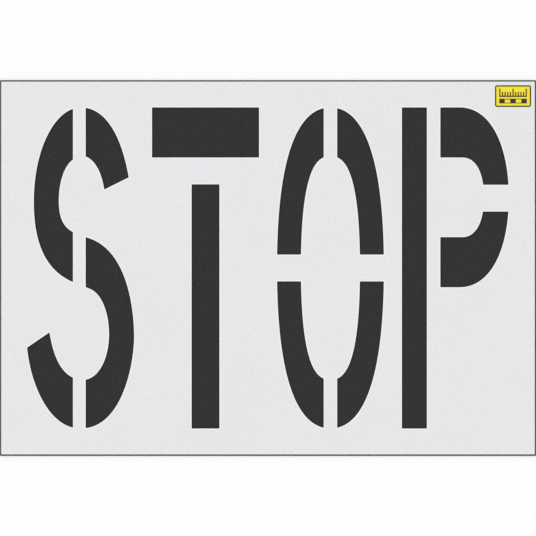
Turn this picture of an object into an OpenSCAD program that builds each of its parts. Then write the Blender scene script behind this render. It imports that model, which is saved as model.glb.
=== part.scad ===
// Road marking stencil: a flat plastic sheet with four letters cut through it, and a small film label on top.
// Millimetres, +Z up. The origin is the centre of the underside, +X is the reading direction and +Y points to
// the tops of the letters.

/* [Word] */
// Height of the letters
letter_h = 609.6; // [560:0.1:900]
// Width of each letter
letter_w = 203.2; // [190:0.1:280]
// Clear space between neighbouring letters
letter_gap = 33.9; // [15:0.1:80]

/* [Sheet] */
// Plain border left round the word
margin = 50.8; // [40:0.1:150]
// Thickness of the sheet
sheet_t = 3.2; // [1.5:0.1:6.5]
// Radius of the sheet's outer corners
corner_r = 1.5; // [0.5:0.1:20]
// Radius of the cutter, which stays in the corners of the openings
cutter_r = 0.8; // [0.5:0.1:5]

/* [Strokes] */
// Width of the upright strokes of the S and the P
stroke_w = 47.6; // [40:0.1:55]
// Width of the stem of the T
stem_w = 52.9; // [35:0.1:80]
// Width of the sides of the O
side_w = 45.6; // [35:0.1:60]
// Height of the level strokes of the T and the P
bar_h = 95.2; // [60:0.1:110]
// Height of the level strokes of the S and the O
bowl_bar_h = 92.7; // [80:0.1:105]
// Height of the bowl of the P
bowl_h = 341.4; // [300:0.1:400]

/* [Bridges] */
// Height of the level bridges of the T, the O and the P
level_bridge_h = 50.8; // [25:0.1:70]
// Width of the upright bridges of the O and the P
upright_bridge_w = 25.4; // [15:0.1:35]
// Width of the upright bridge of the S
s_bridge_w = 24; // [15:0.1:35]
// How far the bridge of the P lies below the middle of its bowl
bowl_bridge_drop = 1.6; // [0:0.1:20]

/* [Label] */
// Width of the label
label_w = 69; // [62:0.5:90]
// Height of the label
label_h = 41.7; // [34:0.1:44]
// Space between the label and the sheet's right and top edges
label_inset = 8.6; // [4:0.1:10]
// Radius of the label's corners
label_r = 4; // [1:0.1:10]
// Thickness of the label's film
film_t = 0.15; // [0.1:0.01:0.3]
// Thickness of the adhesive under the film
adhesive_t = 0.05; // [0.03:0.01:0.1]
// Thickness of the printed ink
ink_t = 0.05; // [0.03:0.01:0.1]
// Film left bare outside the printed frame
frame_inset = 0.3; // [0.1:0.1:1]
// Width of the printed frame
frame_w = 2.5; // [1:0.1:3]

/* [Printed scale] */
// Length of the scale between its first and last ticks
scale_len = 50; // [20:5:52]
// Distance between neighbouring ticks
scale_step = 5; // [4:0.5:10]
// Width of the ticks and of the line under them
tick_w = 2.4; // [0.5:0.1:3]
// Height of the long ticks
long_tick_h = 15.5; // [12:0.1:17]
// Height of the short ticks
short_tick_h = 9.5; // [6:0.1:12]
// Height of the bar of blocks under the scale
block_h = 9; // [4:0.1:10]
// Space between the bar and the scale
block_gap = 3.3; // [1.5:0.1:5]
// Width of the two lines that join the blocks
rail_w = 1.4; // [0.5:0.1:2]

/* [Hidden] */

$fn = 48;
// Straight steps along each curved stretch of a letter
curve_steps = 32;
// One tick in this many is a long one, from the first tick on
long_tick_every = 5;
// Blocks along the bar, of which every second one is left open
block_count = 5;

sheet_colour = [0.90, 0.906, 0.914];
adhesive_colour = [0.93, 0.91, 0.82];
film_colour = [0.965, 0.88, 0.24];
ink_colour = [0.11, 0.10, 0.09];

// Word and sheet
letter_count = 4;
letter_pitch = letter_w + letter_gap;
word_w = letter_count * letter_w + (letter_count - 1) * letter_gap;
sheet_w = word_w + 2 * margin;
sheet_h = letter_h + 2 * margin;

// Label
label_x = sheet_w / 2 - label_inset - label_w / 2;
label_y = sheet_h / 2 - label_inset - label_h / 2;
film_z = sheet_t + adhesive_t;
ink_z = film_z + film_t;

// Printed scale and bar
scale_steps = floor(scale_len / scale_step);
line_len = scale_steps * scale_step + tick_w;
block_w = line_len / block_count;
print_h = block_h + block_gap + long_tick_h;

// The S: places as shares of the letter's width and height, counted from the left and from the foot.
// The fullness of a curved stretch says how far the handles at its two ends reach, as shares of its width
// and height.
s_top_share = 0.5;
s_foot_share = 0.5;
s_left_shares = [0.0625, 0.705];
s_right_share = 0.285;
s_inner_left_share = 0.71;
s_inner_right_share = 0.295;
s_inner_top_share = 0.525;
s_inner_foot_share = 0.525;
s_bridge_share = 0.488;
// Where the two edges of the slanting middle stroke change from hollow to full
s_spine_low_shares = [0.6, 0.433];
s_spine_high_shares = [0.585, 0.592];
// The corners of the two tips
s_upper_tip_out_shares = [0.95, 0.782];
s_upper_tip_in_shares = [0.72, 0.744];
s_lower_tip_in_shares = [0.21, 0.3];
s_lower_tip_out_shares = [0, 0.252];
// Slopes of the spine, in letter heights for each letter width, and leans of the tips, the other way round
s_spine_low_slope_share = -0.165;
s_spine_high_slope_share = -0.115;
s_upper_tip_out_lean_share = -0.52;
s_upper_tip_in_lean_share = -0.42;
s_lower_tip_in_lean_share = -0.46;
s_lower_tip_out_lean_share = -0.26;
// Fullness of the edge that runs from the upper tip round the back of the S into the lower bowl
s_back_full_shares = [[0.64, 0.49], [0.50, 0.60], [0.88, 0.27], [0.67, 0.40], [0.55, 0.58], [0.58, 0.58]];
// Fullness of the edge that runs from the lower tip round the belly of the S into the upper bowl
s_belly_full_shares = [[0.40, 0.62], [0.80, 0.26], [0.25, 0.88], [0.54, 0.80], [0.40, 0.76], [0.30, 0.74]];

// The O and the bowl of the P: where the bends start, as shares of the letter's width, and their fullness
o_outer_full_shares = [0.81, 0.48];
o_inner_full_shares = [0.95, 0.38];
p_outer_bend_share = 0.54;
p_inner_bend_share = 0.57;
p_outer_full_shares = [0.56, 0.65];
p_inner_full_shares = [0.81, 0.40];

// Directions from one point towards another, as long as the step between them
function level(p, q) = [q.x - p.x, 0];
function upright(p, q) = [0, q.y - p.y];
function slanted(p, q, slope_share) = [q.x - p.x, (q.x - p.x) * slope_share * letter_h / letter_w];
function leaning(p, q, lean_share) = [(q.y - p.y) * lean_share * letter_w / letter_h, q.y - p.y];

// Points on a smooth stretch from p as far as q, without q, that leaves p along from_p and meets q along to_q
function stretch(p, from_p, to_q, q, full_shares) =
    let (near_p = p + full_shares[0] * from_p, near_q = q - full_shares[1] * to_q)
    [for (i = [0 : curve_steps - 1])
        let (t = i / curve_steps, u = 1 - t)
        u ^ 3 * p + 3 * u ^ 2 * t * near_p + 3 * u * t ^ 2 * near_q + t ^ 3 * q];

// A place in a letter
function letter_place(shares) = [shares.x * letter_w, shares.y * letter_h];

// A quarter of a bowl: upright at its right end, level at its top end
function quarter(right, top, full_shares) =
    concat(stretch(right, upright(right, top), level(right, top), top, full_shares), [top]);

// The edge of the S from the outer corner of the upper tip, over the top and down the back, to the lower tip
function s_back_edge() =
    let (
        full_shares = s_back_full_shares,
        tip = letter_place(s_upper_tip_out_shares),
        top = letter_place([s_top_share, 1]),
        left = letter_place(s_left_shares),
        spine = letter_place(s_spine_low_shares),
        slope_share = s_spine_low_slope_share,
        right = [letter_w - stroke_w, s_inner_right_share * letter_h],
        foot = [s_inner_foot_share * letter_w, bowl_bar_h],
        end = letter_place(s_lower_tip_in_shares)
    )
    concat(
        stretch(tip, leaning(tip, top, s_upper_tip_out_lean_share), level(tip, top), top, full_shares[0]),
        stretch(top, level(top, left), upright(top, left), left, full_shares[1]),
        stretch(left, upright(left, spine), slanted(left, spine, slope_share), spine, full_shares[2]),
        stretch(spine, slanted(spine, right, slope_share), upright(spine, right), right, full_shares[3]),
        stretch(right, upright(right, foot), level(right, foot), foot, full_shares[4]),
        stretch(foot, level(foot, end), leaning(foot, end, s_lower_tip_in_lean_share), end, full_shares[5]),
        [end]
    );

// The edge of the S from the outer corner of the lower tip, along the foot and up the belly, to the upper tip
function s_belly_edge() =
    let (
        full_shares = s_belly_full_shares,
        tip = letter_place(s_lower_tip_out_shares),
        foot = letter_place([s_foot_share, 0]),
        right = letter_place([1, s_right_share]),
        spine = letter_place(s_spine_high_shares),
        slope_share = s_spine_high_slope_share,
        left = [letter_place(s_left_shares).x + stroke_w, s_inner_left_share * letter_h],
        top = [s_inner_top_share * letter_w, letter_h - bowl_bar_h],
        end = letter_place(s_upper_tip_in_shares)
    )
    concat(
        stretch(tip, leaning(tip, foot, s_lower_tip_out_lean_share), level(tip, foot), foot, full_shares[0]),
        stretch(foot, level(foot, right), upright(foot, right), right, full_shares[1]),
        stretch(right, upright(right, spine), slanted(right, spine, slope_share), spine, full_shares[2]),
        stretch(spine, slanted(spine, left, slope_share), upright(spine, left), left, full_shares[3]),
        stretch(left, upright(left, top), level(left, top), top, full_shares[4]),
        stretch(top, level(top, end), leaning(top, end, s_upper_tip_in_lean_share), end, full_shares[5]),
        [end]
    );

// Openings of the S, from the letter's left and foot
module s_openings() {
    difference() {
        polygon(concat(s_back_edge(), s_belly_edge()));
        translate([s_bridge_share * letter_w - s_bridge_w / 2, 0])
            square([s_bridge_w, letter_h]);
    }
}

// Openings of the T, from the letter's left and foot
module t_openings() {
    translate([0, letter_h - bar_h])
        square([letter_w, bar_h]);
    translate([letter_w / 2 - stem_w / 2, 0])
        square([stem_w, letter_h - bar_h - level_bridge_h]);
}

// Openings of the O, from the letter's left and foot: one quarter, mirrored both ways
module o_openings() {
    half_w = letter_w / 2;
    half_h = letter_h / 2;
    outer = quarter([half_w, 0], [0, half_h], o_outer_full_shares);
    inner = quarter([half_w - side_w, 0], [0, half_h - bowl_bar_h], o_inner_full_shares);
    translate([half_w, half_h])
        for (side = [0, 1], end = [0, 1])
            mirror([side, 0])
                mirror([0, end])
                    intersection() {
                        difference() {
                            polygon(concat([[0, 0]], outer));
                            polygon(concat([[0, 0]], inner));
                        }
                        translate([upright_bridge_w / 2, level_bridge_h / 2])
                            square([half_w, half_h]);
                    }
}

// Openings of the P, from the letter's left and foot: its stem and the two halves of its bowl
module p_openings() {
    start = stroke_w + upright_bridge_w;
    half_h = bowl_h / 2;
    inner_h = half_h - bar_h;
    outer = quarter([letter_w, 0], [p_outer_bend_share * letter_w, half_h], p_outer_full_shares);
    inner = quarter([letter_w - stroke_w, 0], [p_inner_bend_share * letter_w, inner_h], p_inner_full_shares);
    square([stroke_w, letter_h]);
    translate([0, letter_h - half_h])
        difference() {
            for (end = [0, 1])
                mirror([0, end])
                    difference() {
                        polygon(concat([[start, 0]], outer, [[start, half_h]]));
                        polygon(concat([[start, 0]], inner, [[start, inner_h]]));
                    }
            translate([start, -bowl_bridge_drop - level_bridge_h / 2])
                square([letter_w, level_bridge_h]);
        }
}

// Puts a letter in its place along the word
module in_word(place) {
    translate([place * letter_pitch - word_w / 2, -letter_h / 2])
        children();
}

// Leaves the radius of a round cutter in the corners of the openings
module cut_round() {
    offset(r = cutter_r)
        offset(delta = -cutter_r)
            children();
}

// A rectangle about its own centre, with round corners
module round_rectangle(w, h, r) {
    offset(r = r)
        square([w - 2 * r, h - 2 * r], center = true);
}

// A flat layer on the label, z being the height of its underside
module label_layer(z, t) {
    translate([label_x, label_y, z])
        linear_extrude(t)
            children();
}

// The label's outline, drawn in by inset all round
module label_outline(inset) {
    offset(delta = -inset)
        round_rectangle(label_w, label_h, label_r);
}

module stencil_sheet() {
    color(sheet_colour)
        linear_extrude(sheet_t)
            difference() {
                round_rectangle(sheet_w, sheet_h, corner_r);
                cut_round() {
                    in_word(0) s_openings();
                    in_word(1) t_openings();
                    in_word(2) o_openings();
                    in_word(3) p_openings();
                }
            }
}

module label_adhesive() {
    color(adhesive_colour)
        label_layer(sheet_t, adhesive_t)
            label_outline(0);
}

module label_film() {
    color(film_colour)
        label_layer(film_z, film_t)
            label_outline(0);
}

module label_frame_print() {
    color(ink_colour)
        label_layer(ink_z, ink_t)
            difference() {
                label_outline(frame_inset);
                label_outline(frame_inset + frame_w);
            }
}

// A plain measuring scale in the upper part of the label, with one tick at each step and a line under them
module label_scale_print() {
    color(ink_colour)
        label_layer(ink_z, ink_t)
            translate([-line_len / 2, print_h / 2 - long_tick_h]) {
                square([line_len, tick_w]);
                for (i = [0 : scale_steps])
                    translate([i * scale_step, 0])
                        square([tick_w, i % long_tick_every == 0 ? long_tick_h : short_tick_h]);
            }
}

// A bar of alternate full and open blocks under the scale and as long as it, joined by two lines
module label_bar_print() {
    color(ink_colour)
        label_layer(ink_z, ink_t)
            translate([-line_len / 2, -print_h / 2]) {
                for (y = [0, block_h - rail_w])
                    translate([0, y])
                        square([line_len, rail_w]);
                for (i = [0 : 2 : block_count - 1])
                    translate([i * block_w, 0])
                        square([block_w, block_h]);
            }
}

stencil_sheet();
label_adhesive();
label_film();
label_frame_print();
label_scale_print();
label_bar_print();
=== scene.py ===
"""Looks of a road marking stencil: a cut plastic sheet with a small film label, seen from straight above.

Lengths are metres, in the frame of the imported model: +X runs along the word, +Y to the tops of the letters
and +Z up. The scale of a pattern is about the number of its blobs to a metre.
"""

import logging
import math
from dataclasses import dataclass, field
from enum import Enum, IntEnum
from itertools import pairwise
from typing import NamedTuple

import bmesh
import bpy
import numpy as np
from mathutils import Color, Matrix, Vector
from mathutils.geometry import delaunay_2d_cdt
from mathutils.kdtree import KDTree


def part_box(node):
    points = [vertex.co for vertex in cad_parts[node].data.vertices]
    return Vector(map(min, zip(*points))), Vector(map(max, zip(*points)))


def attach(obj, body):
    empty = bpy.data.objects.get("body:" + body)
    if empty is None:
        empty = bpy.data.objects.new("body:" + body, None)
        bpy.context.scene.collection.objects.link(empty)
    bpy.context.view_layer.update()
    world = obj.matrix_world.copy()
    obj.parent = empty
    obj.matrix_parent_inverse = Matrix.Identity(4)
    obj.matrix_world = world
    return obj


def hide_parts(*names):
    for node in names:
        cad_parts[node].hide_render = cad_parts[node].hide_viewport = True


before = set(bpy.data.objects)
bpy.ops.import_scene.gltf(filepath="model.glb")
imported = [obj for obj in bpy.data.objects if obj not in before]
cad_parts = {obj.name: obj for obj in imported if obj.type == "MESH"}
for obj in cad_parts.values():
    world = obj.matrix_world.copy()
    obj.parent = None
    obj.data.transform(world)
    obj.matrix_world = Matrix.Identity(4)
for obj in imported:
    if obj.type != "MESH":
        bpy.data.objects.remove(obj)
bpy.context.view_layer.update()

LOG = logging.getLogger("road_marking_stencil")
BODY = "root"
RIM_NAME = "rim"
CUT_MAP = "along_the_cut"
FULL_BYTE = 255
SAME_PLACE_DECIMALS = 6
# Nearly all of a noise pattern lies in this range
NOISE_RANGE = (0.3, 0.7)
# How long each wave of a wave pattern is at a scale of 1
WAVE_LENGTH = math.tau / 20

Socket = bpy.types.NodeSocket
Material = bpy.types.Material
Piece = bpy.types.Object
Colour = tuple[float, float, float, float]
Span = tuple[float, float]
Input = float | tuple[float, ...] | Vector | Socket | Material
Outlines = list["Outline"]


class Node(Enum):
    """The CAD nodes that this script dresses."""

    SHEET = "stencil_sheet"
    ADHESIVE = "label_adhesive"
    FILM = "label_film"
    FRAME_PRINT = "label_frame_print"
    SCALE_PRINT = "label_scale_print"
    BAR_PRINT = "label_bar_print"


class Slot(Enum):
    """The record's material slots, which the cut plates carry but nothing reads."""

    SHEET = "sheet"
    FILM = "film"
    INK = "ink"


class Surface(IntEnum):
    """The two kinds of surface on a cut plate, in the order of its materials."""

    FLAT = 0
    CUT = 1


def written(red: int, green: int, blue: int) -> Colour:
    """Turns a colour written in 8-bit sRGB into the linear, opaque colour that a shader takes."""
    linear = Color((red / FULL_BYTE, green / FULL_BYTE, blue / FULL_BYTE)).from_srgb_to_scene_linear()
    return (linear.r, linear.g, linear.b, 1.0)


def toned(colour: Colour, share: float) -> Colour:
    """Makes a linear colour darker, or lighter where the share is over 1."""
    return (*(part * share for part in colour[:3]), colour[3])


def put(name: str, data: bpy.types.ID) -> Piece:
    """Makes an object and puts it into the scene.

    Args:
        name: its name.
        data: its mesh, light or camera.

    Returns:
        The new object, at the origin.
    """
    made = bpy.data.objects.new(name, data)
    bpy.context.scene.collection.objects.link(made)
    return made


def stand_for(made: Piece, node: Node) -> Piece:
    """Makes a piece ride on the body and stand for its CAD node.

    Args:
        made: the piece.
        node: the CAD node.

    Returns:
        The piece.
    """
    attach(made, BODY)
    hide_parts(node.value)
    return made


def output(node: bpy.types.Node, identifier: str) -> Socket:
    """Finds a node's output by its identifier."""
    return next(socket for socket in node.outputs if socket.identifier == identifier)


class NodeTree:
    """A tree of nodes, filled by short calls."""

    def __init__(self, tree: bpy.types.NodeTree) -> None:
        """Takes over a tree and empties it."""
        self.tree = tree
        self.tree.nodes.clear()

    def fill(self, socket: Socket, value: Input) -> None:
        """Gives an input its value.

        Args:
            socket: the input.
            value: another node's output, which is linked, or a plain value, which is set.
        """
        if isinstance(value, Socket):
            self.tree.links.new(value, socket)
        else:
            socket.default_value = value

    def node(self, kind: str, inputs: dict[str, Input], **settings: object) -> bpy.types.Node:
        """Adds a node.

        Args:
            kind: Blender's name for this kind of node.
            inputs: what its inputs take, by the identifier of each.
            settings: the node's own properties.

        Returns:
            The new node.
        """
        made = self.tree.nodes.new(kind)
        for name, value in settings.items():
            setattr(made, name, value)
        sockets = {socket.identifier: socket for socket in made.inputs}
        for name, value in inputs.items():
            self.fill(sockets[name], value)
        return made

    def maths(self, operation: str, *values: Input) -> Socket:
        """Adds a Math node with one, two or three inputs, and gives its result."""
        names = ("Value", "Value_001", "Value_002")
        return self.node("ShaderNodeMath", dict(zip(names, values)), operation=operation).outputs["Value"]

    def spread(self, value: Input, start: float, end: float, low: float, high: float) -> Socket:
        """Maps a value from the range of start and end to that of low and high, and keeps it inside."""
        inputs = {"Value": value, "From Min": start, "From Max": end, "To Min": low, "To Max": high}
        return self.node("ShaderNodeMapRange", inputs, clamp=True).outputs["Result"]


class ShaderTree(NodeTree):
    """The nodes of one material, round a Principled shader."""

    def __init__(self, name: str, gloss: float) -> None:
        """Starts a material.

        Args:
            name: the material's name.
            gloss: the shader's specular level, the same all over.
        """
        self.material = bpy.data.materials.new(name)
        self.material.use_nodes = True
        super().__init__(self.material.node_tree)
        self.shader = self.node("ShaderNodeBsdfPrincipled", {"Specular IOR Level": gloss})
        self.node("ShaderNodeOutputMaterial", {"Surface": self.shader.outputs["BSDF"]})
        self.object_place = self.node("ShaderNodeTexCoord", {}).outputs["Object"]

    def dress(self, colour: Input, roughness: Input, slope: Input) -> Material:
        """Gives the shader its looks.

        Args:
            colour: its colour.
            roughness: its roughness.
            slope: the slope of its surface.

        Returns:
            The finished material.
        """
        for name, value in (("Base Color", colour), ("Roughness", roughness), ("Normal", slope)):
            self.fill(self.shader.inputs[name], value)
        return self.material

    def textured(self, colour: Input, pattern: Input, roughness: Span, depth: float) -> Material:
        """Gives the shader a colour, and a roughness and a slope that follow a noise pattern."""
        return self.dress(colour, self.spread(pattern, *NOISE_RANGE, *roughness), self.bump(pattern, depth))

    def noise(self, scale: float, detail: float, place: Input | None = None) -> Socket:
        """Adds a noise pattern, about 0.5 on average, on the object's own coordinates or those given."""
        inputs = {"Vector": place or self.object_place, "Scale": scale, "Detail": detail}
        return self.node("ShaderNodeTexNoise", inputs).outputs["Fac"]

    def blend(self, share: Input, first: Input, second: Input) -> Socket:
        """Mixes two colours, with a share of the second."""
        inputs = {"Factor_Float": share, "A_Color": first, "B_Color": second}
        return output(self.node("ShaderNodeMix", inputs, data_type="RGBA"), "Result_Color")

    def bump(self, height: Input, depth: float, under: Input | None = None) -> Socket:
        """Turns a pattern into a slope of the surface.

        Args:
            height: the pattern.
            depth: how deep it goes, in metres.
            under: the slope that it lies on, where there is one.

        Returns:
            The new slope.
        """
        inputs = {"Height": height, "Distance": depth, "Strength": 1.0}
        if under is not None:
            inputs["Normal"] = under
        return self.node("ShaderNodeBump", inputs).outputs["Normal"]

    def uneven(self, pattern: Input, colour: Colour, share: float) -> Socket:
        """Makes a colour darker by a share where a pattern is 0, and lighter by it where the pattern is 1."""
        return self.blend(pattern, toned(colour, 1 - share), toned(colour, 1 + share))

    def attribute(self, name: str) -> Socket:
        """Reads one of the mesh's own values."""
        return self.node("ShaderNodeAttribute", {}, attribute_name=name).outputs["Fac"]

    def hairlines(self, turn: float, length: float, width: float, rarity: float) -> Socket:
        """Adds fine straight scuffs that all run one way.

        Args:
            turn: the direction that they run in, in radians from +X.
            length: about how long they are.
            width: about how far apart they would lie if all of them showed.
            rarity: how high the pattern has to reach for a scuff to show, from 0 to 1.

        Returns:
            The pattern, 1 on a scuff and 0 elsewhere.
        """
        edge = 0.05
        inputs = {"Vector": self.object_place, "Rotation": (0, 0, -turn), "Scale": (1 / length, 1 / width, 1)}
        along = self.node("ShaderNodeMapping", inputs).outputs["Vector"]
        return self.spread(self.noise(scale=1, detail=1, place=along), rarity, rarity + edge, 0, 1)


@dataclass(frozen=True)
class SheetFinish:
    """Pale grey polyethylene, pebbled, faintly mottled and lightly scuffed.

    It is whitened beside its cuts, and has a narrow dark line of painted shade round its outer edge.
    """

    colour: Colour = written(229, 230, 232)
    gloss: float = 0.35
    mottle: float = 0.1
    mottle_scale: float = 260.0
    drift_share: float = 0.2
    drift_scale: float = 6.0
    rim_colour: Colour = written(247, 248, 249)
    rim_full_share: float = 0.7
    # Painted shade: the colour of the dark line along the outer edge, then its width and how it fades
    edge_colour: Colour = written(22, 21, 22)
    shade_line_width: float = 0.00175
    shade_line_fade: float = 0.0005
    edge_rim_reach: float = 0.0034
    pebble_scale: float = 900.0
    pebble_depth: float = 0.00004
    roughness: Span = (0.42, 0.62)
    scuff_turns: tuple[float, ...] = (0.12, 1.35, 2.4)
    scuff_length: float = 0.09
    scuff_width: float = 0.0012
    scuff_rarity: float = 0.7
    scuff_depth: float = 0.00002
    scuff_roughness: float = 0.12
    feed_pitch: float = 0.0016
    feed_share: float = 0.6
    feed_depth: float = 0.00005
    feed_shade: float = 0.97
    feed_wobble: float = 1.5
    cut_roughness: Span = (0.5, 0.75)

    def from_edge(self, shades: ShaderTree, half: Vector) -> Socket:
        """Works out how far a place lies from the sheet's outer edge.

        Args:
            shades: the material's tree.
            half: half of the sheet's length, height and thickness.

        Returns:
            The distance.
        """
        place = shades.node("ShaderNodeSeparateXYZ", {"Vector": shades.object_place}).outputs
        sides = zip(half.xy, place)
        gaps = [shades.maths("SUBTRACT", far, shades.maths("ABSOLUTE", way)) for far, way in sides]
        return shades.maths("MINIMUM", *gaps)

    def with_painted_edge_shade(self, shades: ShaderTree, colour: Input, gap: Input) -> Socket:
        """Paints shade in a narrow dark line along the outer edge, which is the gap away."""
        line = shades.spread(gap, self.shade_line_width, self.shade_line_width + self.shade_line_fade, 1, 0)
        return shades.blend(line, colour, self.edge_colour)

    def flat(self, half: Vector) -> Material:
        """Makes the finish of the flat faces and their rounded arrises.

        Args:
            half: half of the sheet's length, height and thickness.

        Returns:
            The material.
        """
        shades = ShaderTree("pale_polyethylene", self.gloss)
        gap = self.from_edge(shades, half)
        mottle = shades.maths("MULTIPLY", shades.noise(self.mottle_scale, detail=1), 1 - self.drift_share)
        drift = shades.noise(self.drift_scale, detail=2)
        shade = shades.maths("MULTIPLY_ADD", drift, self.drift_share, mottle)
        plain = shades.uneven(shade, self.colour, self.mottle)
        beside_cut = shades.spread(shades.attribute(RIM_NAME), 0, self.rim_full_share, 0, 1)
        beside_edge = shades.spread(gap, self.shade_line_width, self.edge_rim_reach, 1, 0)
        whitened = shades.blend(shades.maths("MAXIMUM", beside_cut, beside_edge), plain, self.rim_colour)
        pebbles = shades.noise(self.pebble_scale, detail=2)
        scuffs = self.scuffs(shades)
        sheen = shades.spread(pebbles, *NOISE_RANGE, *self.roughness)
        roughness = shades.maths("MULTIPLY_ADD", scuffs, self.scuff_roughness, sheen)
        slope = shades.bump(scuffs, -self.scuff_depth, shades.bump(pebbles, self.pebble_depth))
        # The dark line of painted shade goes over the colour along the outer edge
        return shades.dress(self.with_painted_edge_shade(shades, whitened, gap), roughness, slope)

    def scuffs(self, shades: ShaderTree) -> Socket:
        """Lays scuffs that run in a few directions over each other.

        Args:
            shades: the material's tree.

        Returns:
            The pattern, 1 on a scuff and 0 elsewhere.
        """
        worn: Input = 0.0
        for turn in self.scuff_turns:
            lines = shades.hairlines(turn, self.scuff_length, self.scuff_width, self.scuff_rarity)
            worn = shades.maths("MAXIMUM", worn, lines)
        return worn

    def cut(self, half: Vector) -> Material:
        """Makes the finish of the cut walls: the cutter's feed marks, and painted shade on the outer walls.

        Args:
            half: half of the sheet's length, height and thickness.

        Returns:
            The material.
        """
        shades = ShaderTree("routed_polyethylene", self.gloss)
        feed = shades.node("ShaderNodeTexWave", {
            "Vector": shades.node("ShaderNodeUVMap", {}, uv_map=CUT_MAP).outputs["UV"],
            "Scale": WAVE_LENGTH / self.feed_pitch,
            "Distortion": self.feed_wobble,
        }).outputs["Fac"]
        fuzz = shades.maths("MULTIPLY", shades.noise(self.pebble_scale, detail=3), 1 - self.feed_share)
        marks = shades.maths("MULTIPLY_ADD", feed, self.feed_share, fuzz)
        routed = shades.blend(marks, toned(self.colour, self.feed_shade), self.rim_colour)
        # The outer walls take the dark line of painted shade
        colour = self.with_painted_edge_shade(shades, routed, self.from_edge(shades, half))
        roughness = shades.spread(marks, 0, 1, *self.cut_roughness)
        return shades.dress(colour, roughness, shades.bump(marks, self.feed_depth))


@dataclass(frozen=True)
class FilmFinish:
    """Yellow vinyl film: satin, a little uneven in its colour, with orange peel and a paler cut edge."""

    colour: Colour = written(246, 224, 46)
    edge_colour: Colour = written(250, 236, 140)
    gloss: float = 0.3
    mottle: float = 0.04
    mottle_scale: float = 110.0
    peel_scale: float = 1500.0
    peel_depth: float = 0.00001
    roughness: Span = (0.28, 0.42)

    def material(self) -> Material:
        """Makes the film's finish.

        Returns:
            The material.
        """
        shades = ShaderTree("yellow_film", self.gloss)
        plain = shades.uneven(shades.noise(self.mottle_scale, detail=3), self.colour, self.mottle)
        colour = shades.blend(shades.attribute(RIM_NAME), plain, self.edge_colour)
        peel = shades.noise(self.peel_scale, detail=1)
        return shades.textured(colour, peel, self.roughness, self.peel_depth)


@dataclass(frozen=True)
class InkFinish:
    """Black screen ink: a slight gloss, uneven cover and a few worn pinholes."""

    colour: Colour = written(38, 34, 16)
    worn_colour: Colour = written(98, 88, 40)
    gloss: float = 0.4
    cover: float = 0.4
    cover_scale: float = 900.0
    pinhole_scale: float = 2600.0
    pinhole_levels: Span = (0.72, 0.77)
    depth: float = 0.00001
    roughness: Span = (0.35, 0.55)

    def material(self) -> Material:
        """Makes the ink's finish.

        Returns:
            The material.
        """
        shades = ShaderTree("black_ink", self.gloss)
        cover = shades.noise(self.cover_scale, detail=3)
        pinholes = shades.spread(shades.noise(self.pinhole_scale, detail=1), *self.pinhole_levels, 0, 1)
        colour = shades.blend(pinholes, shades.uneven(cover, self.colour, self.cover), self.worn_colour)
        return shades.textured(colour, cover, self.roughness, self.depth)


@dataclass(frozen=True)
class AdhesiveFinish:
    """Cream pressure-sensitive adhesive, of which only the edge shows."""

    colour: Colour = written(236, 231, 210)
    grip_colour: Colour = written(205, 198, 172)
    gloss: float = 0.4
    grip_scale: float = 700.0
    depth: float = 0.00001
    roughness: Span = (0.3, 0.6)

    def material(self) -> Material:
        """Makes the adhesive's finish.

        Returns:
            The material.
        """
        shades = ShaderTree("cream_adhesive", self.gloss)
        grip = shades.noise(self.grip_scale, detail=3)
        colour = shades.blend(grip, self.colour, self.grip_colour)
        return shades.textured(colour, grip, self.roughness, self.depth)


@dataclass(frozen=True)
class GroundFinish:
    """A matt surface with a fine grain, for the floor and for the ground under the stencil."""

    name: str
    colour: Colour
    grain: float
    grain_scale: float
    gloss: float = 0.0
    depth: float = 0.00003
    roughness: float = 0.9

    def material(self) -> Material:
        """Makes the surface's finish.

        Returns:
            The material.
        """
        shades = ShaderTree(self.name, self.gloss)
        grain = shades.noise(self.grain_scale, detail=1)
        colour = shades.uneven(grain, self.colour, self.grain)
        return shades.dress(colour, self.roughness, shades.bump(grain, self.depth))


@dataclass
class Outline:
    """A closed outline on a flat face, with the material on its left.

    Attributes:
        points: its points in order, one row each.
    """

    points: np.ndarray

    def steps(self) -> np.ndarray:
        """Gives the step from each point to the next."""
        return np.roll(self.points, -1, axis=0) - self.points

    def lengths(self) -> np.ndarray:
        """Gives how far each point lies along the outline, and last the whole length."""
        return np.concatenate([[0.0], np.cumsum(np.hypot(*self.steps().T))])

    def area(self) -> float:
        """Gives the area inside, which is negative where the outline runs clockwise, as round an opening."""
        x, y = self.points.T
        return 0.5 * float(np.sum(x * np.roll(y, -1) - y * np.roll(x, -1)))

    def divided(self, longest: float) -> "Outline":
        """Splits the long steps evenly.

        Args:
            longest: the longest step that may stay.

        Returns:
            The same outline with more points.
        """
        rows = []
        for point, step in zip(self.points, self.steps()):
            count = max(1, math.ceil(math.hypot(*step) / longest))
            rows.extend(point + step * (i / count) for i in range(count))
        return Outline(np.array(rows))

    def inward(self) -> np.ndarray:
        """Works out how far each point moves for its edges to move one unit into the material.

        Returns:
            The way of each point, one row each.
        """
        ahead = self.steps()
        ahead = ahead / np.hypot(*ahead.T)[:, None]
        left = np.column_stack([-ahead[:, 1], ahead[:, 0]])
        behind = np.roll(left, 1, axis=0)
        return (left + behind) / (1 + np.sum(left * behind, axis=1))[:, None]

    def corner_radius(self) -> float:
        """Gives the radius of the corners, where the outline is a rounded rectangle."""
        x, y = self.points.round(SAME_PLACE_DECIMALS).T
        return float(x.max() - x[y == y.max()].max())


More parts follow.
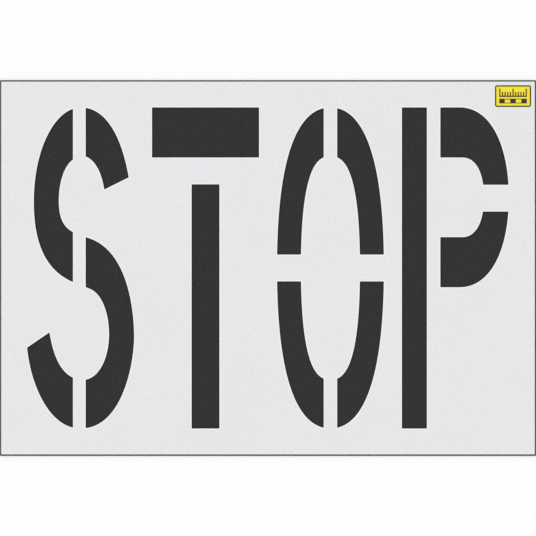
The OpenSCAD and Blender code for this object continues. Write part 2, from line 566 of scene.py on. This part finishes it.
def read_outlines(node: Node) -> Outlines:
    """Reads the outlines of a flat CAD node's upper face from a merged copy of its mesh.

    Args:
        node: the CAD node.

    Returns:
        The outlines, with the outer one first.
    """
    weld, upright = 2e-6, 0.5
    copy = bmesh.new()
    copy.from_mesh(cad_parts[node.value].data)
    bmesh.ops.remove_doubles(copy, verts=copy.verts, dist=weld)
    following = {}
    for face in copy.faces:
        for loop in face.loops:
            least = min(other.normal.z for other in loop.edge.link_faces)
            if face.normal.z > upright >= least:
                following[loop.vert] = loop.link_loop_next.vert
    outlines = []
    while following:
        vert = next(iter(following))
        points = []
        while vert in following:
            points.append((vert.co.x, vert.co.y))
            vert = following.pop(vert)
        outlines.append(Outline(np.array(points)))
    copy.free()
    return sorted(outlines, key=lambda outline: -outline.area())


def turning_places(outlines: Outlines) -> tuple[list[float], list[float]]:
    """Finds where square-cornered outlines turn.

    Args:
        outlines: the outlines.

    Returns:
        The places along X and along Y, in order, counted from the lowest of each.
    """
    points = np.concatenate([outline.points for outline in outlines])
    counted = (points - points.min(0)).round(SAME_PLACE_DECIMALS)
    return tuple(np.unique(row).tolist() for row in counted.T)


@dataclass
class MeshDraft:
    """The points and faces of one mesh while it is put together.

    Attributes:
        points: the points.
        rims: how near each point is to a cut, from 0 to 1.
        faces: the points of each face, in order.
        places: the place of each corner of each face on the map.
        surfaces: the kind of surface of each face.
    """

    points: list[tuple[float, float, float]] = field(default_factory=list)
    rims: list[float] = field(default_factory=list)
    faces: list[tuple[int, ...]] = field(default_factory=list)
    places: list[tuple[float, float]] = field(default_factory=list)
    surfaces: list[Surface] = field(default_factory=list)

    def add_points(self, flat: np.ndarray, height: float, rim: float) -> range:
        """Adds points that lie at one height.

        Args:
            flat: their places in plan, one row each.
            height: their height.
            rim: how near they are to a cut.

        Returns:
            Their numbers.
        """
        start = len(self.points)
        self.points.extend((float(x), float(y), height) for x, y in flat)
        self.rims.extend([rim] * len(flat))
        return range(start, len(self.points))

    def add_face(self, corners: tuple[int, ...], places: list[tuple[float, float]], surface: Surface) -> None:
        """Adds a face.

        Args:
            corners: its points, anticlockwise as seen from outside.
            places: their places on the map.
            surface: its kind of surface.
        """
        self.faces.append(corners)
        self.places.extend(places)
        self.surfaces.append(surface)

    def piece(self, name: str, materials: list[Material]) -> Piece:
        """Makes the mesh and its object.

        Args:
            name: the piece's name.
            materials: the material of each kind of surface, in the order of Surface.

        Returns:
            The new object, at the origin.
        """
        mesh = bpy.data.meshes.new(name)
        mesh.from_pydata(self.points, [], self.faces)
        for material in materials:
            mesh.materials.append(material)
        mesh.attributes.new(RIM_NAME, "FLOAT", "POINT").data.foreach_set("value", self.rims)
        mesh.uv_layers.new(name=CUT_MAP).data.foreach_set("uv", np.array(self.places, np.float32).ravel())
        mesh.polygons.foreach_set("material_index", [int(surface) for surface in self.surfaces])
        mesh.shade_smooth()
        mesh.update()
        return put(name, mesh)


class Ring(NamedTuple):
    """A ring of points along an edge: how far in it lies, its height, and how near it is to the cut."""

    way: float
    height: float
    near: float


@dataclass
class CutPlate:
    """A flat plate with openings, drawn through the outlines of its CAD node, with worn, rounded arrises.

    Attributes:
        node: the CAD node that it stands for.
        slot: the record's slot for its finish. It is not used.
        name: the piece's name.
        arris: the radius of the upper arrises.
        under_arris: the radius of the lower arrises.
        rim: the width of the whitened band beside each opening.
        outer_rim: the width of that band along the outer edge.
        edge_step: the longest step along an outline.
        flat_step: the distance between the points that carry the flat faces.
        turns: how many steps round an arris.
    """

    node: Node
    slot: Slot
    name: str
    arris: float
    under_arris: float
    rim: float
    outer_rim: float
    edge_step: float
    flat_step: float
    turns: int = 3

    def profile(self, rim: float, bottom: float, top: float) -> list[Ring]:
        """Works out the section through an edge.

        Args:
            rim: the width of the whitened band.
            bottom: the height of the underside.
            top: the height of the upper face.

        Returns:
            The rings, from the flat above to the flat below.
        """
        # A ring on the flat, this many radii from the cut, keeps the shading of the arris off the flat
        hold = 1.25
        quarter = [0.5 * math.pi * i / self.turns for i in range(self.turns + 1)]
        over, under = self.arris, self.under_arris
        return [
            Ring(rim, top, 0.0),
            Ring(hold * over, top, 1 - hold * over / rim),
            *(Ring(over * (1 - math.sin(a)), top - over * (1 - math.cos(a)), 1.0) for a in quarter),
            *(Ring(under * (1 - math.cos(a)), bottom + under * (1 - math.sin(a)), 1.0) for a in quarter),
            Ring(hold * under, bottom, 1.0),
        ]

    def flat_points(self, rims: Outlines) -> np.ndarray:
        """Spreads points evenly over the flat face, clear of its rims.

        Args:
            rims: the outlines of the flat face, with the outer one first.

        Returns:
            The points, one row each.
        """
        clear_gap = 0.45 * self.flat_step
        row_step = self.flat_step * math.sqrt(3) / 2
        low, high = rims[0].points.min(0), rims[0].points.max(0)
        places = np.array([
            (x, y)
            for row, y in enumerate(np.arange(low[1], high[1], row_step))
            for x in np.arange(low[0] + (row % 2) * self.flat_step / 2, high[0], self.flat_step)
        ])
        edge = np.concatenate([rim.points for rim in rims])
        tree = KDTree(len(edge))
        for number, (x, y) in enumerate(edge):
            tree.insert((x, y, 0.0), number)
        tree.balance()
        gaps = np.array([gap for _, _, gap in (tree.find((x, y, 0.0)) for x, y in places)])
        return places[(gaps > clear_gap) & self.on_material(rims, places)]

    @staticmethod
    def on_material(rims: Outlines, places: np.ndarray) -> np.ndarray:
        """Says which places lie inside the outer outline and in none of the openings.

        Args:
            rims: the outlines.
            places: the places, one row each.

        Returns:
            For each place, whether a line from it along +X crosses the outlines an odd number of times.
        """
        inside = np.zeros(len(places), bool)
        x, y = places.T
        for rim in rims:
            for (ax, ay), (bx, by) in zip(rim.points, np.roll(rim.points, -1, axis=0)):
                if ay != by:
                    crosses = (ay > y) != (by > y)
                    inside ^= crosses & (x < ax + (y - ay) * (bx - ax) / (by - ay))
        return inside

    def triangles(self, rims: Outlines, filling: np.ndarray) -> list[tuple[int, int, int]]:
        """Fills the flat face with triangles.

        Args:
            rims: the outlines of the flat face, with the outer one first.
            filling: the points inside it.

        Returns:
            The triangles, anticlockwise from above. Their points are numbered with the rims' first.
        """
        whole_hull, same_place = 0, 1e-8
        edges = []
        for rim in rims:
            start, count = len(edges), len(rim.points)
            edges.extend((start + i, start + (i + 1) % count) for i in range(count))
        flat = np.concatenate([*(rim.points for rim in rims), filling])
        vectors = [Vector(row) for row in flat]
        points, _, faces, origins, _, _ = delaunay_2d_cdt(vectors, edges, [], whole_hull, same_place)
        if len(points) != len(flat):
            raise ValueError(f"{self.name}: the outlines of the flat face touch each other")
        faces = np.array([[origins[i][0] for i in face] for face in faces])
        kept = faces[self.on_material(rims, flat[faces].mean(axis=1))]
        first, second, third = np.moveaxis(flat[kept], 1, 0)
        (ux, uy), (vx, vy) = (second - first).T, (third - first).T
        turned = ux * vy - uy * vx < 0
        kept[turned] = kept[turned][:, ::-1]
        return [tuple(face) for face in kept.tolist()]

    def build(self, materials: list[Material]) -> Piece:
        """Makes the piece.

        Args:
            materials: the material of each kind of surface, in the order of Surface.

        Returns:
            The finished piece, which rides on its body and stands for its node.
        """
        low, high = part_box(self.node.value)
        draft = MeshDraft()
        rims, top_numbers, bottom_numbers = [], [], []
        for place, whole in enumerate(read_outlines(self.node)):
            outline = whole.divided(self.edge_step)
            rim = self.rim if place else self.outer_rim
            rings = self.profile(rim, low.z, high.z)
            inward = outline.inward()
            numbers = [draft.add_points(outline.points + inward * way, z, near) for way, z, near in rings]
            self.join_rings(draft, rings, numbers, outline.lengths())
            rims.append(Outline(outline.points + inward * rim))
            top_numbers.extend(numbers[0])
            bottom_numbers.extend(numbers[-1])
        filling = self.flat_points(rims)
        top_numbers.extend(draft.add_points(filling, high.z, 0.0))
        bottom_numbers.extend(draft.add_points(filling, low.z, 0.0))
        for face in self.triangles(rims, filling):
            for numbers, order in ((top_numbers, face), (bottom_numbers, face[::-1])):
                corners = tuple(numbers[i] for i in order)
                draft.add_face(corners, [draft.points[i][:2] for i in corners], Surface.FLAT)
        return stand_for(draft.piece(self.name, materials), self.node)

    @staticmethod
    def join_rings(draft: MeshDraft, rings: list[Ring], numbers: list[range], along: np.ndarray) -> None:
        """Joins the rings of points round one outline with faces.

        Args:
            draft: the mesh that takes the faces.
            rings: the rings.
            numbers: the points of each ring.
            along: how far each point lies along the outline, and last the whole length.
        """
        for (above, upper), (below, lower) in pairwise(zip(rings, numbers)):
            surface = Surface.CUT if above.way == below.way else Surface.FLAT
            high, low = above.height, below.height
            for i, (start, end) in enumerate(pairwise(along)):
                j = (i + 1) % len(upper)
                places = [(start, high), (start, low), (end, low), (end, high)]
                draft.add_face((upper[i], lower[i], lower[j], upper[j]), places, surface)


class GeometryTree(NodeTree):
    """A Geometry Nodes tree with named inputs, which makes one plain mesh."""

    def __init__(self, name: str, sizes: dict[str, float]) -> None:
        """Starts a tree.

        Args:
            name: the tree's name.
            sizes: its named lengths and counts, with the value of each.
        """
        super().__init__(bpy.data.node_groups.new(name, "GeometryNodeTree"))
        self.tree.interface.new_socket("Geometry", in_out="OUTPUT", socket_type="NodeSocketGeometry")
        self.given = self.node("NodeGroupInput", {})
        self.values: dict[str, Input] = {}
        self.inputs: dict[str, Socket] = {}
        for label, value in sizes.items():
            self.take(label, value, "NodeSocketFloat")

    def take(self, label: str, value: Input, kind: str) -> Socket:
        """Adds a named input.

        Args:
            label: its name.
            value: what it is set to.
            kind: Blender's name for its kind of socket.

        Returns:
            The input, for other nodes to read.
        """
        identifier = self.tree.interface.new_socket(label, in_out="INPUT", socket_type=kind).identifier
        self.values[identifier] = value
        self.inputs[label] = output(self.given, identifier)
        return self.inputs[label]

    def point(self, x: Input = 0.0, y: Input = 0.0, z: Input = 0.0) -> Socket:
        """Joins three numbers to a vector."""
        return self.node("ShaderNodeCombineXYZ", {"X": x, "Y": y, "Z": z}).outputs["Vector"]

    def rectangle(self, width: Input, height: Input) -> Socket:
        """Adds a flat rectangle round the origin, as a curve."""
        inputs = {"Width": width, "Height": height}
        return self.node("GeometryNodeCurvePrimitiveQuadrilateral", inputs).outputs["Curve"]

    def moved(self, shape: Input, way: Input) -> Socket:
        """Moves a shape by a vector."""
        return self.node("GeometryNodeTransform", {"Geometry": shape, "Translation": way}).outputs["Geometry"]

    def tile(self, width: Input, height: Input) -> Socket:
        """Adds one flat face with its lowest corner at the origin.

        Args:
            width: its length along X.
            height: its length along Y.

        Returns:
            The face.
        """
        size = {"Size X": width, "Size Y": height, "Vertices X": 2, "Vertices Y": 2}
        middle = self.point(self.maths("MULTIPLY", width, 0.5), self.maths("MULTIPLY", height, 0.5))
        return self.moved(self.node("GeometryNodeMeshGrid", size).outputs["Mesh"], middle)

    def row(self, count: Input, step: Input, start: Input = (0.0, 0.0, 0.0)) -> Socket:
        """Adds a row of points, from the start on, with the same step from each to the next."""
        inputs = {"Count": count, "Offset": step, "Start Location": start}
        return self.node("GeometryNodeMeshLine", inputs, mode="OFFSET", count_mode="TOTAL").outputs["Mesh"]

    def copies(self, shape: Input, points: Input, scale: Input = (1.0, 1.0, 1.0)) -> Socket:
        """Puts a copy of a shape on each point.

        Args:
            shape: the shape.
            points: the points.
            scale: how each copy is stretched.

        Returns:
            The copies, as real geometry.
        """
        inputs = {"Points": points, "Instance": shape, "Scale": scale}
        placed = self.node("GeometryNodeInstanceOnPoints", inputs).outputs["Instances"]
        return self.node("GeometryNodeRealizeInstances", {"Geometry": placed}).outputs["Geometry"]

    def joined(self, *shapes: Socket) -> Socket:
        """Joins shapes, and melts the corners that they share.

        Args:
            shapes: the shapes.

        Returns:
            The one shape that they make.
        """
        heap = self.node("GeometryNodeJoinGeometry", {})
        for shape in shapes:
            self.fill(heap.inputs["Geometry"], shape)
        melting = {"Geometry": heap.outputs["Geometry"], "Distance": 10.0 ** -SAME_PLACE_DECIMALS}
        return self.node("GeometryNodeMergeByDistance", melting).outputs["Geometry"]

    def thickened(self, flat: Input, thickness: Input) -> Socket:
        """Raises a flat shape to a closed solid.

        Args:
            flat: the shape, which becomes the underside.
            thickness: how far it is raised.

        Returns:
            The solid's skin.
        """
        raising = {"Mesh": flat, "Offset Scale": thickness, "Individual": False}
        raised = self.node("GeometryNodeExtrudeMesh", raising, mode="FACES").outputs["Mesh"]
        under = self.node("GeometryNodeFlipFaces", {"Mesh": flat}).outputs["Mesh"]
        return self.joined(raised, under)

    def piece(self, name: str, shape: Socket, place: Vector, material: Material, bevel: float) -> Piece:
        """Ends the tree, runs it and keeps the result as a plain mesh.

        Args:
            name: the piece's name.
            shape: the geometry that the tree has made.
            place: where its origin goes.
            material: its material.
            bevel: how far its sharp edges are eased.

        Returns:
            The new object, at the origin.
        """
        steps, sharp = 2, math.radians(40)
        where = self.take("Place", place, "NodeSocketVector")
        finish = self.take("Finish", material, "NodeSocketMaterial")
        placed = self.moved(shape, where)
        real = self.node("GeometryNodeRealizeInstances", {"Geometry": placed}).outputs["Geometry"]
        dressed = self.node("GeometryNodeSetMaterial", {"Geometry": real, "Material": finish})
        end = self.tree.nodes.new("NodeGroupOutput")
        self.fill(end.inputs["Geometry"], dressed.outputs["Geometry"])
        made = put(name, bpy.data.meshes.new(name))
        grown = made.modifiers.new("grown", "NODES")
        grown.node_group = self.tree
        for identifier, value in self.values.items():
            grown[identifier] = value
        eased = made.modifiers.new("eased", "BEVEL")
        eased.width, eased.segments, eased.limit_method, eased.angle_limit = bevel, steps, "ANGLE", sharp
        settled = made.evaluated_get(bpy.context.evaluated_depsgraph_get())
        mesh = bpy.data.meshes.new_from_object(settled)
        mesh.name = name
        mesh.shade_flat()
        made.modifiers.clear()
        made.data = mesh
        return made


@dataclass
class CornerLabel:
    """The small film label in the sheet's corner: adhesive, film, and a printed frame, scale and bar.

    Attributes:
        film_arris: the radius of the film's cut edge.
        film_rim: the width of the paler band along that edge.
        film_step: the distance between the points of the film.
        corner_steps: how many steps round each corner of the printed frame.
        long_every: one tick of the scale in this many is a long one.
        ink_ease: how far the ink's edges are rounded.
    """

    film_arris: float = 0.00004
    film_rim: float = 0.0004
    film_step: float = 0.004
    corner_steps: int = 12
    long_every: int = 5
    ink_ease: float = 0.000015

    def adhesive(self, finish: AdhesiveFinish) -> Piece:
        """Dresses the adhesive's CAD node, whose shape is right as it is.

        Args:
            finish: its finish.

        Returns:
            The node's object.
        """
        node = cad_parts[Node.ADHESIVE.value]
        node.material_slots[0].material = finish.material()
        return node

    def film(self, finish: FilmFinish) -> Piece:
        """Makes the film.

        Args:
            finish: its finish.

        Returns:
            The film's piece.
        """
        plate = CutPlate(
            node=Node.FILM,
            slot=Slot.FILM,
            name="label_film_cut",
            arris=self.film_arris,
            under_arris=self.film_arris,
            rim=self.film_rim,
            outer_rim=self.film_rim,
            edge_step=self.film_step / 2,
            flat_step=self.film_step,
        )
        material = finish.material()
        return plate.build([material, material])

    def frame_print(self, ink: Material) -> Piece:
        """Runs a flat band of ink along a rounded rectangle.

        Args:
            ink: the ink's material.

        Returns:
            The printed frame.
        """
        low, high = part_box(Node.FRAME_PRINT.value)
        size = high - low
        outer, inner = read_outlines(Node.FRAME_PRINT)
        band_width = float(np.ptp(outer.points[:, 0]) - np.ptp(inner.points[:, 0])) / 2
        tree = GeometryTree("printed_frame", {
            "Length": size.x - band_width,
            "Height": size.y - band_width,
            "Radius": outer.corner_radius() - band_width / 2,
            "Corner steps": self.corner_steps,
            "Band width": band_width,
            "Ink thickness": size.z,
        })
        given = tree.inputs
        sides = tree.rectangle(given["Length"], given["Height"])
        corners = {"Curve": sides, "Count": given["Corner steps"], "Radius": given["Radius"]}
        path = tree.node("GeometryNodeFilletCurve", corners, mode="POLY").outputs["Curve"]
        level = tree.node("GeometryNodeSetCurveNormal", {"Curve": path}, mode="Z_UP").outputs["Curve"]
        band = tree.rectangle(given["Band width"], given["Ink thickness"])
        swept = tree.node("GeometryNodeCurveToMesh", {"Curve": level, "Profile Curve": band}).outputs["Mesh"]
        made = tree.piece("label_frame_ink", swept, (low + high) / 2, ink, self.ink_ease)
        return stand_for(made, Node.FRAME_PRINT)

    def scale_print(self, ink: Material) -> Piece:
        """Prints a row of ticks on a line.

        Args:
            ink: the ink's material.

        Returns:
            The printed scale.
        """
        low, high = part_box(Node.SCALE_PRINT.value)
        along, up = turning_places(read_outlines(Node.SCALE_PRINT))
        (_, tick_width, tick_step, *_), (_, _, short_tick, long_tick) = along, up
        tree = GeometryTree("printed_scale", {
            "Line length": high.x - low.x,
            "Tick width": tick_width,
            "Tick step": tick_step,
            "Short tick": short_tick,
            "Long tick": long_tick,
            "Long every": self.long_every,
            "Ink thickness": high.z - low.z,
        })
        given = tree.inputs
        width, step = given["Tick width"], tree.point(x=given["Tick step"])
        reach = tree.maths("SUBTRACT", given["Line length"], width)
        gap_count = tree.maths("ROUND", tree.maths("DIVIDE", reach, given["Tick step"]))
        tick_count = tree.maths("ADD", gap_count, 1.0)
        gap = tree.tile(tree.maths("SUBTRACT", given["Tick step"], width), width)
        gaps = tree.copies(gap, tree.row(gap_count, step, tree.point(x=width)))
        feet = tree.copies(tree.tile(width, width), tree.row(tick_count, step))
        place = tree.node("GeometryNodeInputIndex", {}).outputs["Index"]
        short = tree.maths("MINIMUM", tree.maths("MODULO", place, given["Long every"]), 1.0)
        less = tree.maths("SUBTRACT", given["Short tick"], given["Long tick"])
        height = tree.maths("SUBTRACT", tree.maths("MULTIPLY_ADD", short, less, given["Long tick"]), width)
        stems = tree.row(tick_count, step, tree.point(y=width))
        ticks = tree.copies(tree.tile(width, 1.0), stems, tree.point(1.0, height, 1.0))
        comb = tree.thickened(tree.joined(gaps, feet, ticks), given["Ink thickness"])
        made = tree.piece("label_scale_ink", comb, low, ink, self.ink_ease)
        return stand_for(made, Node.SCALE_PRINT)

    def bar_print(self, ink: Material) -> Piece:
        """Prints a bar of alternate full and open blocks between two lines.

        Args:
            ink: the ink's material.

        Returns:
            The printed bar.
        """
        low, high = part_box(Node.BAR_PRINT.value)
        along, up = turning_places(read_outlines(Node.BAR_PRINT))
        (_, block_length, *_, length), (_, rail_width, _, height) = along, up
        tree = GeometryTree("printed_bar", {
            "Bar length": length,
            "Bar height": height,
            "Block length": block_length,
            "Rail width": rail_width,
            "Ink thickness": high.z - low.z,
        })
        given = tree.inputs
        block, rail = given["Block length"], given["Rail width"]
        count = tree.maths("ROUND", tree.maths("DIVIDE", given["Bar length"], block))
        full_count = tree.maths("CEIL", tree.maths("MULTIPLY", count, 0.5))
        rise = tree.maths("SUBTRACT", given["Bar height"], rail)
        lower_rail = tree.copies(tree.tile(block, rail), tree.row(count, tree.point(x=block)))
        rails = tree.copies(lower_rail, tree.row(2, tree.point(y=rise)))
        pair = tree.point(x=tree.maths("MULTIPLY", block, 2.0))
        full = tree.tile(block, tree.maths("SUBTRACT", rise, rail))
        blocks = tree.copies(full, tree.row(full_count, pair, tree.point(y=rail)))
        bar = tree.thickened(tree.joined(rails, blocks), given["Ink thickness"])
        made = tree.piece("label_bar_ink", bar, low, ink, self.ink_ease)
        return stand_for(made, Node.BAR_PRINT)

    def build(self) -> list[Piece]:
        """Makes the label.

        Returns:
            Its pieces, from the adhesive up.
        """
        ink = InkFinish().material()
        return [
            self.adhesive(AdhesiveFinish()),
            self.film(FilmFinish()),
            self.frame_print(ink),
            self.scale_print(ink),
            self.bar_print(ink),
        ]


@dataclass
class StencilSheet:
    """The cut sheet.

    Attributes:
        plate: its shape.
        finish: its finish.
    """

    plate: CutPlate = field(default_factory=lambda: CutPlate(
        node=Node.SHEET,
        slot=Slot.SHEET,
        name="stencil_sheet_cut",
        arris=0.0004,
        under_arris=0.0003,
        rim=0.0024,
        outer_rim=0.0012,
        edge_step=0.009,
        flat_step=0.014,
    ))
    finish: SheetFinish = SheetFinish()

    def build(self) -> list[Piece]:
        """Makes the sheet.

        Returns:
            Its one piece.
        """
        low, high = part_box(self.plate.node.value)
        half = (high - low) / 2
        return [self.plate.build([self.finish.flat(half), self.finish.cut(half)])]


@dataclass
class Stage:
    """The plain pale floor, and the dark ground under the stencil, which shows through its openings.

    Attributes:
        floor: the floor's finish.
        ground: the ground's finish.
        floor_reach: how far the floor goes from the middle.
        floor_thickness: how thick the floor is.
        floor_drop: how far the floor lies below the stencil.
        shadow_strip_reach: how far the ground goes past the sheet's edges, as a strip of painted shadow.
        ground_gap: the gap between the ground and the sheet.
    """

    floor: GroundFinish = GroundFinish("white_floor", written(254, 254, 254), grain=0.004, grain_scale=40.0)
    ground: GroundFinish = GroundFinish("dark_ground", written(54, 52, 53), grain=0.36, grain_scale=260.0)
    floor_reach: float = 6.0
    floor_thickness: float = 0.01
    floor_drop: float = 0.0004
    # Painted shadow: the dark strip of ground that shows round the sheet's edges
    shadow_strip_reach: float = 0.001
    ground_gap: float = 0.0001

    @staticmethod
    def slab(name: str, low: Vector, high: Vector, finish: GroundFinish) -> Piece:
        """Makes a flat slab.

        Args:
            name: its name.
            low: its lowest corner.
            high: its highest corner.
            finish: its finish.

        Returns:
            The slab.
        """
        shape = bmesh.new()
        bmesh.ops.create_cube(shape, size=1.0)
        bmesh.ops.scale(shape, vec=high - low, verts=shape.verts)
        bmesh.ops.translate(shape, vec=(low + high) / 2, verts=shape.verts)
        mesh = bpy.data.meshes.new(name)
        shape.to_mesh(mesh)
        shape.free()
        mesh.materials.append(finish.material())
        made = put(name, mesh)
        return made

    def build(self) -> list[Piece]:
        """Makes the stage.

        Returns:
            The floor and the ground.
        """
        low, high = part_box(Node.SHEET.value)
        under = low.z - self.floor_drop
        reach, past = self.floor_reach, self.shadow_strip_reach
        floor_low = Vector((-reach, -reach, under - self.floor_thickness))
        floor_high = Vector((reach, reach, under))
        # The ground reaches past the sheet's edges as a strip of painted shadow
        ground_low = Vector((low.x - past, low.y - past, under))
        ground_high = Vector((high.x + past, high.y + past, low.z - self.ground_gap))
        return [
            self.slab("floor", floor_low, floor_high, self.floor),
            self.slab("ground", ground_low, ground_high, self.ground),
        ]


@dataclass
class Studio:
    """Plain soft light: a pale surround that is brighter overhead, and one broad lamp from the upper left.

    Attributes:
        overhead: the surround's brightness straight up.
        low_down: its brightness at the horizon.
        lamp_share: how much of the light on a level face comes from the lamp, where the whole is 1.
        lamp_from: where the lamp stands, as a direction.
        lamp_spread: how broad the lamp looks, in radians.
    """

    overhead: float = 0.925
    low_down: float = 0.55
    lamp_share: float = 0.2
    lamp_from: tuple[float, float, float] = (-0.5, 0.5, 0.9)
    lamp_spread: float = math.radians(40)

    def surround(self) -> None:
        """Lights the scene evenly from all round, and shows plain white behind it."""
        world = bpy.data.worlds.new("studio")
        world.use_nodes = True
        bpy.context.scene.world = world
        tree = NodeTree(world.node_tree)
        way = tree.node("ShaderNodeTexCoord", {}).outputs["Generated"]
        up = tree.node("ShaderNodeSeparateXYZ", {"Vector": way}).outputs["Z"]
        light = tree.spread(up, 0, 1, self.low_down, self.overhead)
        rays = tree.node("ShaderNodeLightPath", {}).outputs
        mirrored = tree.maths("MAXIMUM", rays["Is Glossy Ray"], rays["Is Transmission Ray"])
        seen = tree.maths("MAXIMUM", rays["Is Camera Ray"], mirrored)
        mix = {"Factor_Float": seen, "A_Float": light, "B_Float": 1.0}
        shown = output(tree.node("ShaderNodeMix", mix, data_type="FLOAT"), "Result_Float")
        white = tree.node("ShaderNodeBackground", {"Color": (1, 1, 1, 1), "Strength": shown})
        tree.node("ShaderNodeOutputWorld", {"Surface": white.outputs["Background"]})

    def lamp(self) -> None:
        """Adds the lamp, far away, so that it lights the whole sheet alike."""
        way = Vector(self.lamp_from).normalized()
        light = bpy.data.lights.new("broad_lamp", "SUN")
        light.energy = self.lamp_share * math.pi / way.z
        light.angle = self.lamp_spread
        made = put("broad_lamp", light)
        made.rotation_mode = "QUATERNION"
        made.rotation_quaternion = way.to_track_quat("Z", "Y")
        made.location = way

    def build(self) -> None:
        """Makes the surround and the lamp."""
        self.surround()
        self.lamp()


@dataclass
class OverheadCamera:
    """A camera with a long lens, straight above the middle of the sheet, with the tops of the letters up.

    Attributes:
        image_px: the width of the picture.
        sheet_px: the width of the sheet in the picture.
        lens_mm: the focal length.
        sensor_mm: the width of the sensor.
    """

    image_px: float = 536
    sheet_px: float = 535.5
    lens_mm: float = 135
    sensor_mm: float = 36

    def build(self) -> None:
        """Makes the camera and gives it to the scene."""
        low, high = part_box(Node.SHEET.value)
        width = (high.x - low.x) * self.image_px / self.sheet_px
        distance = width * self.lens_mm / self.sensor_mm
        lens = bpy.data.cameras.new("overhead")
        lens.lens, lens.sensor_width = self.lens_mm, self.sensor_mm
        made = put("overhead", lens)
        made.location = ((low.x + high.x) / 2, (low.y + high.y) / 2, high.z + distance)
        bpy.context.scene.camera = made


def main() -> None:
    """Builds the camera, the light, the stage and the stencil, in that order."""
    logging.basicConfig(level=logging.INFO, format="%(name)s: %(message)s")
    bpy.context.scene.view_settings.view_transform = "Standard"
    OverheadCamera().build()
    Studio().build()
    for part in (Stage(), StencilSheet(), CornerLabel()):
        for made in part.build():
            LOG.info("%s: %s, %d faces", type(part).__name__, made.name, len(made.data.polygons))


if __name__ == "__main__":
    main()
